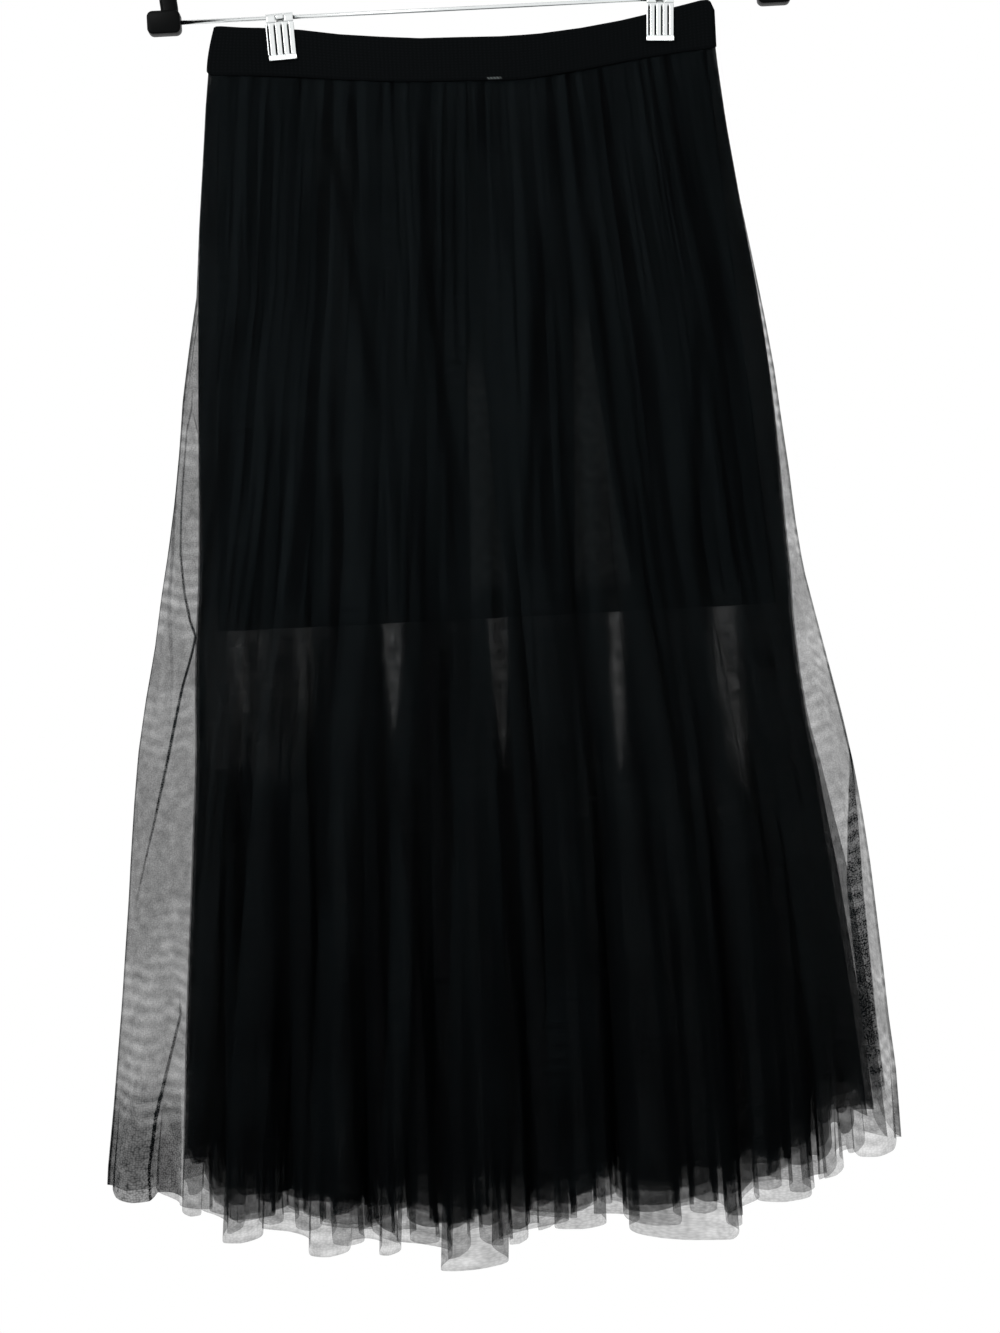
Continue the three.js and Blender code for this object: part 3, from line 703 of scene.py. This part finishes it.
# Tubes form between these depths, and lower down in the loose sides, which start at a share
# of the reach. A tube swings out by a share of its pitch, up to a limit.
TUBES_FORM = (150, 790)
LOOSE_TUBES_FORM = (690, 800)
LOOSE_SIDES = (0.74, 0.84)
SWING_SHARE = 0.42
SWING_LIMIT = 17.5
# The layers come out of the seam over the first drop, and the band's bulge fades over the
# second. The last is the least that a half stands off, save at its sides.
SEAM_DROP = 30
BULGE_DROP = 130
LEAST_OFF = 0.15
# Fine gathers at the waist: how many across a half, their swing, and where they have faded
GATHERS = [(43, 0.9, 420), (67, 0.5, 280), (29, 1.3, 700)]
# Valleys between the front's long folds: how much painted shade darkens them, their half width,
# their depth and how long their ends run out in mm, then down and across along each
VALLEY_SHADE = 0.8
VALLEY_HALF = 3.4
VALLEY_DEEP = 2.6
VALLEY_ENDS = 45
VALLEYS = [
    [(57, -104), (143, -91), (228, -82), (311, -70.5)],
    [(64, -36), (193, -36), (279, -30), (381, -18)],
    [(129, 39), (197, 42), (316, 26), (411, 19)],
    [(141, 75.5), (301, 84.5), (414, 96)],
    [(200, 147), (355, 138), (450, 139.5)],
    [(404, -121), (640, -126)],
    [(490, -80), (617, -64), (700, -64)],
    [(650, -175), (727, -161), (815, -161)],
    [(405, -34), (509, -41.5), (678, -50), (845, -55.5)],
    [(490, -1), (562, 0), (790, -8)],
    [(470, 135.5), (525, 138), (800, 141)],
    [(540, 172), (649, 178), (750, 181)],
]
# Places where the two innermost layers' gathers part, so that the room or the lining shows:
# how soft their edges are and over what drop they open in mm, then down, left and right
# along each, and how far they part
PARTING_EDGE = 1.2
PARTING_OPENS = 12
PARTINGS = [
    ([(419, -189, -173), (461, -187.5, -175), (492, -180, -177.7)], 0.55),
    ([(419, -169, -160), (462, -169.4, -162), (480, -166, -164)], 0.45),
    ([(419, -143.6, -131.5), (464, -142.3, -133.5), (490, -137.5, -135.5)], 0.55),
    ([(419, -82.0, -67.4), (450, -81.8, -68), (505, -78.2, -77.8)], 0.7),
    ([(419, -8.6, 5.6), (470, -7.8, 3), (524, -3, -1.7)], 0.5),
    ([(419, 74.0, 86), (481, 74.0, 83.4), (526, 78.0, 81.6), (542, 79.7, 80.8)], 0.7),
    ([(412, 143.7, 165.3), (468, 145.5, 164), (506, 152.4, 165.2), (534, 156, 164.8),
      (552, 163, 164.4)], 0.6),
    ([(250, -14, -2), (341, -16, 1), (404, -19, 7)], 1.0),
    ([(223, 60, 71), (331, 55.5, 80.5), (404, 52, 91)], 1.0),
    ([(60, -108, -88), (200, -112, -84), (404, -119, -90)], 0.3),
    ([(419, -205, -120), (520, -208, -140)], 0.22),
]
# How much the net's cover goes up and down, and what is left of it where gathers part
MOTTLING = 0.07
PARTED_COVER = 0.15
# Darker strips in the loose sides, where the top layer folds over on itself: down, left and
# right edge and how much denser the net is there
STRIPS = [
    [(247, -202.9, -202.1, 0.0), (267, -204.7, -203.5, 0.25), (282, -209.0, -207.8, 0.3),
     (317, -213.4, -212.2, 0.32), (338, -215.6, -214.2, 0.34), (366, -217.1, -215.5, 0.36),
     (394, -215.5, -213.7, 0.4), (413, -212.3, -210.5, 0.45), (424, -208.8, -207.0, 0.5),
     (436, -212.0, -210.2, 0.5), (458, -219.7, -217.7, 0.5), (480, -225.7, -223.5, 0.5),
     (510, -233.3, -231.2, 0.42), (552, -244.7, -242.9, 0.35),
     (574, -251.1, -249.7, 0.28), (616, -262.8, -261.6, 0.0), (660, -231, -230.4, 0.0),
     (680, -231.2, -229.4, 0.3), (713, -241.4, -239.2, 0.35), (747, -251.6, -249.0, 0.35),
     (785, -257.4, -255.8, 0.2)],
    [(268, -204.0, -203.4, 0.0), (276, -202.6, -201.6, 0.25), (286, -200.3, -199.3, 0.3),
     (299, -200.2, -199.2, 0.0), (300, -216.2, -215.5, 0.0), (340, -221.2, -219.6, 0.25),
     (400, -228, -224.6, 0.14), (450, -226.6, -224.6, 0.1), (500, -232.0, -230.6, 0.0)],
    [(520, 236.6, 237.2, 0.2), (545, 233.6, 238.2, 0.44), (573, 230.4, 238.6, 0.48),
     (617, 227.2, 239.1, 0.50), (697, 231.4, 242.7, 0.50), (752, 236.0, 245.7, 0.46),
     (764, 237.1, 246.7, 0.0)],
    [(440, 218.5, 219.2, 0.0), (460, 222.5, 223.7, 0.35), (500, 230.6, 231.8, 0.35),
     (530, 236.4, 237.8, 0.4), (560, 239.0, 240.0, 0.2), (620, 240.4, 241.2, 0.0)],
    [(722, -280, -233, 0.0), (738, -283, -233.5, 0.18), (770, -287, -235, 0.26),
     (800, -291, -237, 0.26), (812, -292, -238, 0.2)],
]


def hem_line(folds):
    """Fold coordinates and the hem at them: lowest under each fold, higher between"""
    at, hems = [0], [SEAM_HEM[0]]
    for i, (_, _, left, right) in enumerate(folds):
        at += [i + 0.25, i + 0.36, i + 0.5, i + 0.64, i + 0.75]
        hems += [left - 4, left, (left + right) / 2 + 1.5, right, right - 4]
        if i + 1 < len(folds):
            at.append(i + 1)
            hems.append((right + folds[i + 1][2]) / 2 - 5)
    return [*at, len(folds)], [*hems, SEAM_HEM[1]]


def in_valley(across, down):
    """How deep in a valley between the front's long folds, from 0 to 1"""
    deepest = 0 * across
    for line in VALLEYS:
        line = np.array(line)
        away = (across - read(line, down, 1)) / VALLEY_HALF
        start, end = (ease(far, 0, VALLEY_ENDS) for far in (down - line[0, 0], line[-1, 0] - down))
        deepest = np.maximum(deepest, start * end * np.exp(-away ** 2))
    return deepest


def parted(across, down):
    """How far the innermost layers' gathers are pushed apart, from 0 to 1"""
    apart = 0 * across
    for rows, most in PARTINGS:
        rows = np.array(rows)
        inside = np.minimum(across - read(rows, down, 1), read(rows, down, 2) - across)
        sides = np.clip(inside / PARTING_EDGE + 0.5, 0, 1)
        there = ease(down - rows[0, 0], -PARTING_OPENS, 0) * (down < rows[-1, 0])
        apart = np.maximum(apart, most * there * sides)
    return apart


def hem_places(folds, fold):
    """Where the folds lie at the hem, as a share of its reach, and how wide their pitch is"""
    left, right = read(SHAPE, SEAM_HEM[0], 1), read(SHAPE, SEAM_HEM[1], 2)
    at = [i + quarter for i in range(len(folds)) for quarter in (0.25, 0.75)]
    edges = [-left, *(edge for row in folds for edge in row[:2]), right]
    across = np.interp(fold, [0, *at, len(folds)], edges)
    wide = np.diff(edges)
    pitch = np.interp(fold, at, wide[:-1] + wide[1:])
    return np.where(across < 0, across / left, across / right), pitch


def gathers(share, down, seed):
    """How far the waist's gathers push the cloth across and off, in mm"""
    across, off = 0, 0
    for i, (pleats, size, gone) in enumerate(GATHERS):
        phase = math.tau * pleats * share + 2.6 * wobble(share * 24, down / 170, seed + 6 + i)
        depth = size * ease(down, 40, 70) * ease(gone - down, 0, 0.6 * gone)
        depth = depth * (0.6 + 0.4 * wobble(share * 31, down / 90, seed + 9 + i))
        across = across + 0.7 * depth * np.sin(2 * phase)
        off = off + depth * np.cos(phase)
    return across, off


def drawn_in(layer, spread, reach, across, off, down):
    """Keeps a layer within the dark body's sides and behind the layer before it"""
    lower_right = layer["right"] * ease(down, 480, 630)
    dark = np.where(spread < 0, read(SHAPE, down, 3), read(SHAPE, down, 4) + lower_right)
    dark = dark - layer["narrower"] * ease(down, 200, 400)
    side = np.interp(down, [37, 200, 850], [6, 18, 40])
    over = (np.abs(across) - (dark - side)) / np.maximum(1, reach - dark + side)
    inner = np.minimum(np.abs(across), dark - side) + np.clip(over, 0, 1) * side
    close = np.sin(0.5 * math.pi * np.clip((dark - inner) / side, 0, 1))
    return np.sign(across) * inner, close * (off - layer["inset"] * read(SHAPE, down, 7))


def fold_half(folds, share, along, layer, front, seed):
    """Across, stand-off and down of a half of a layer, in mm, for share 0 to 1 from the left"""
    fold = share * len(folds)
    top_share = 2 * share - 1
    hem_share, pitch = hem_places(folds, fold)
    spread = top_share + (hem_share - top_share) * along ** 0.9
    bulge = np.sin(math.pi * share) * np.sin(math.pi * along)
    spread = spread + 0.012 * bulge * wobble(share * 9, along * 5, seed + 5)
    # From the seam under the waistband down to the uneven hem
    top_across = top_share * np.where(top_share < 0, SHAPE[0, 1], SHAPE[0, 2])
    top = read(BAND, top_across, 2) - 1
    hem = np.interp(fold, *hem_line(folds)) - layer["shorter"]
    hem = hem + layer["uneven"] * wobble(fold * 4, 0 * fold, seed)
    down = top + along * (hem - top)
    reach = np.where(spread < 0, read(SHAPE, down, 1), read(SHAPE, down, 2))
    across = spread * reach
    # Tubes, which turn over on themselves where they are full
    loose = ease(np.abs(spread), *LOOSE_SIDES)
    hang = ease(down, *TUBES_FORM) ** 1.2 * (1 - loose) + loose * ease(down, *LOOSE_TUBES_FORM)
    turn = layer["turn"] * (1 + 0.35 * wobble(fold * 1.7, down / 160, seed + 1))
    turn = turn * (1 - 0.4 * loose)
    across = across + hang * turn * pitch * np.sin(4 * math.pi * fold) / (4 * math.pi)
    across = across + 1.2 * hang * wobble(fold * 2.3, down / 55, seed + 2)
    swing = np.minimum(SWING_LIMIT, SWING_SHARE * pitch) * hang
    base = read(SHAPE, down, 5) * roundness(spread, read(SHAPE, down, 6))
    bulging = np.clip(1 - (down - WAIST) / BULGE_DROP, 0, 1)
    waist = (read(BAND, top_across, 3) - 0.95) * bulging
    still = np.minimum(1, np.maximum(0, base - 2) / (swing + 2.5))
    off = base + waist - still * swing * np.cos(math.tau * fold)
    # Gathers, then coarse and fine unevenness
    sideways, outwards = gathers(share, down, seed)
    across = across + still * sideways
    off = off + still * outwards
    off = off + still * 0.9 * hang * wobble(across / 14, down / 26, seed + 4)
    off = off + still * 0.5 * wobble(across / 3.5, down / 60, seed + 12)
    if front:
        off = off - VALLEY_DEEP * still * in_valley(across, down)
    if layer["inset"]:
        across, off = drawn_in(layer, spread, reach, across, off, down)
    seam = ease(down - top, 0, SEAM_DROP)
    tucked = read(BAND, top_across, 3) - 1 - 0.15 * layer["inset"]
    off = seam * off + (1 - seam) * tucked
    return across, shut_sides(np.maximum(off, LEAST_OFF), share, 60), down


def layer_place(layer):
    """The place function of a whole layer: its front half, then its back half"""
    def place_points(around, along):
        front, share = halves(around)
        seed = 10 * layer["inset"] + 20
        folds = FULL_FOLDS if layer["inset"] else TOP_FOLDS
        ahead = fold_half(folds, share, along, layer, True, seed)
        behind = fold_half(BACK_FOLDS, share, along, layer, False, seed + 100)
        across, off, down = (np.where(front, a, b) for a, b in zip(ahead, behind))
        return stood_off(front, across, off, down)
    return place_points


def top_marks(tree, flat, place, thread, alpha, tone):
    """What only the top layer shows: adds to its cover, alpha, and to its tone"""
    # The left side hangs a little denser than the right
    spot = add_node(tree, "ShaderNodeSeparateXYZ", links={0: place})
    denser = ranged(tree, spot.outputs[0], -0.2, 0.2, 0.065, -0.03)
    alpha = math_node(tree, "ADD", alpha, denser)
    # Where two nets cross they make faint bands, 10 mm apart in the loose sides and 3 mm
    # apart on the dark body
    drift = add_node(tree, "ShaderNodeTexNoise", values={"Scale": 18, "Detail": 1},
                     links={"Vector": place})
    where = ranged(tree, drift.outputs[0], 0.45, 0.6)
    bands = add_node(tree, "ShaderNodeTexWave", {"bands_direction": "Y"},
                     {"Scale": 31, "Distortion": 4.5, "Detail": 1, "Detail Scale": 0.4},
                     {"Vector": flat})
    band = math_node(tree, "MULTIPLY", bands.outputs[1], where)
    alpha = math_node(tree, "MULTIPLY_ADD", band, -0.16, alpha)
    ripples = add_node(tree, "ShaderNodeTexWave", {"bands_direction": "Y"},
                       {"Scale": 100, "Distortion": 2.5, "Detail": 1, "Detail Scale": 0.3},
                       {"Vector": flat})
    ripple = math_node(tree, "MULTIPLY", ripples.outputs[1], where)
    tone = math_node(tree, "MULTIPLY_ADD", ripple, 0.6, tone, clamp=True)
    for rows in STRIPS:
        folded = strip(tree, place, rows)
        grainy = math_node(tree, "MULTIPLY", folded, thread)
        alpha = math_node(tree, "ADD", folded, alpha)
        alpha = math_node(tree, "MULTIPLY_ADD", grainy, 2.5, alpha)
    # The side seams are a line of doubled net, 2 mm to each side
    cut = add_node(tree, "ShaderNodeSeparateXYZ", links={0: flat})
    turned = math_node(tree, "PINGPONG", cut.outputs[0], SIDE_TO_SIDE / 4)
    by_seam = math_node(tree, "LESS_THAN", turned, 0.0018)
    return math_node(tree, "MULTIPLY_ADD", by_seam, 0.22, alpha), tone


def net_finish(name, cover, kind):
    """Soft nylon net that hides cover of the view. The kind is top, single or full."""
    finish, tree = new_finish(name)
    flat = add_node(tree, "ShaderNodeUVMap", {"uv_map": "cloth"}).outputs[0]
    place = add_node(tree, "ShaderNodeTexCoord").outputs["Object"]
    # Mottling, where the net lies more or less crumpled
    patches = add_node(tree, "ShaderNodeTexNoise", values={"Scale": 150, "Detail": 1.5},
                       links={"Vector": place})
    alpha = ranged(tree, patches.outputs[0], 0.3, 0.7, cover - MOTTLING, cover + MOTTLING)
    # Painted light and shade of the gathers: long lighter and darker streaks run down the cloth
    drawn_out = add_node(tree, "ShaderNodeMapping", None, {"Scale": (1, 0.035, 1)},
                         {"Vector": flat})
    streaks = add_node(tree, "ShaderNodeTexNoise", {"noise_dimensions": "2D"},
                       {"Scale": 62, "Detail": 2, "Roughness": 0.62},
                       {"Vector": drawn_out.outputs[0]})
    tone = ranged(tree, streaks.outputs[0], 0.33, 0.67)
    # Painted shade: lower down the layers hang fuller, so less light comes back out of them, and
    # their tone is darkened there
    cut = add_node(tree, "ShaderNodeSeparateXYZ", links={0: flat})
    deep = ranged(tree, cut.outputs[1], 0.30, 0.72, 1.0, 0.22)
    tone = math_node(tree, "MULTIPLY", tone, deep)
    if kind == "full":
        pushed = add_node(tree, "ShaderNodeAttribute", {"attribute_name": "parted"})
        thinned = PARTED_COVER - cover
        alpha = math_node(tree, "MULTIPLY_ADD", pushed.outputs["Fac"], thinned, alpha)
    else:
        # Open cells with thread round them, drawn at 1.5 mm for 1.2 mm, so that they show
        cells = add_node(tree, "ShaderNodeTexVoronoi", {"voronoi_dimensions": "2D"},
                         {"Scale": 1000 / 1.5, "Randomness": 0.7}, {"Vector": flat})
        thread = ranged(tree, cells.outputs["Distance"], 0.1, 0.75, -0.06, 0.07)
        alpha = math_node(tree, "ADD", alpha, thread)
    if kind == "top":
        alpha, tone = top_marks(tree, flat, place, thread, alpha, tone)
    alpha = math_node(tree, "ADD", alpha, 0.0, clamp=True)
    # The two innermost layers' lightest tone is darker: painted shade that makes up for the
    # shadows they don't cast
    tones = add_node(tree, "ShaderNodeValToRGB", links={"Fac": tone})
    tones.color_ramp.elements[0].color = linear("#020304")
    tones.color_ramp.elements[1].color = linear("#0F1314" if kind == "full" else "#171C1E")
    # Painted shade in the valleys between the front's long folds: the tone goes towards near-black
    # there
    valley = add_node(tree, "ShaderNodeAttribute", {"attribute_name": "valley"})
    shaded_tone = add_node(tree, "ShaderNodeMix", {"data_type": "RGBA"}, {7: linear("#020304")},
                    {0: valley.outputs["Fac"], 6: tones.outputs[0]})
    shade(tree, {"Roughness": 0.8, "Specular IOR Level": 0.03},
          {"Base Color": shaded_tone.outputs[2], "Alpha": alpha})
    return finish


# Nylon tulle: soft net of fine thread. The two innermost layers lie more crumpled, so each
# hides more of what is behind it.
top_net = net_finish("nylon_tulle_top", 0.46, "top")
net = net_finish("nylon_tulle", 0.43, "single")
full_net = net_finish("nylon_tulle_gathered_full", 0.68, "full")

LAYERS = [
    ("tulle_top_layer", top_net, 1180, 64, ("tulle_outer_front", "tulle_outer_back"),
     {"inset": 0, "shorter": 0, "uneven": 1.0, "turn": 1.7}),
    ("tulle_under_layer_1", net, 800, 56, ("tulle_inner_front", "tulle_inner_back"),
     {"inset": 1, "narrower": 1, "right": 5, "shorter": 0, "uneven": 4, "turn": 1.9}),
    ("tulle_under_layer_2", full_net, 800, 56, ("tulle_inner_front", "tulle_inner_back"),
     {"inset": 2, "narrower": 2, "right": -1, "shorter": 13, "uneven": 9, "turn": 1.8}),
    ("tulle_under_layer_3", full_net, 800, 56, ("tulle_inner_front", "tulle_inner_back"),
     {"inset": 3, "narrower": 4, "right": -4, "shorter": 22, "uneven": 9, "turn": 1.7}),
]
for name, finish, columns, rows, nodes, layer in LAYERS:
    sheet = cloth(name, columns, rows, layer_place(layer), (SIDE_TO_SIDE, 0.80))
    keep(sheet, finish, "tulle", *nodes)
    # The two innermost layers cast no shadow, which keeps the render short. Their darker tones are
    # painted shade that allows for it.
    sheet.visible_shadow = finish is not full_net
    points = points_of(sheet.data) / MM
    across, down, ahead = points[:, 0], -points[:, 2] - BAR_DOWN, points[:, 1] < 0
    # The valleys' painted shade, and where the gathers part, are stored on the points
    painted = {"valley": VALLEY_SHADE * ahead * in_valley(across, down)}
    if finish is full_net:
        painted["parted"] = parted(across, down)
    for attribute, values in painted.items():
        sheet.data.attributes.new(attribute, "FLOAT", "POINT")
        sheet.data.attributes[attribute].data.foreach_set("value", values.astype(np.float32))
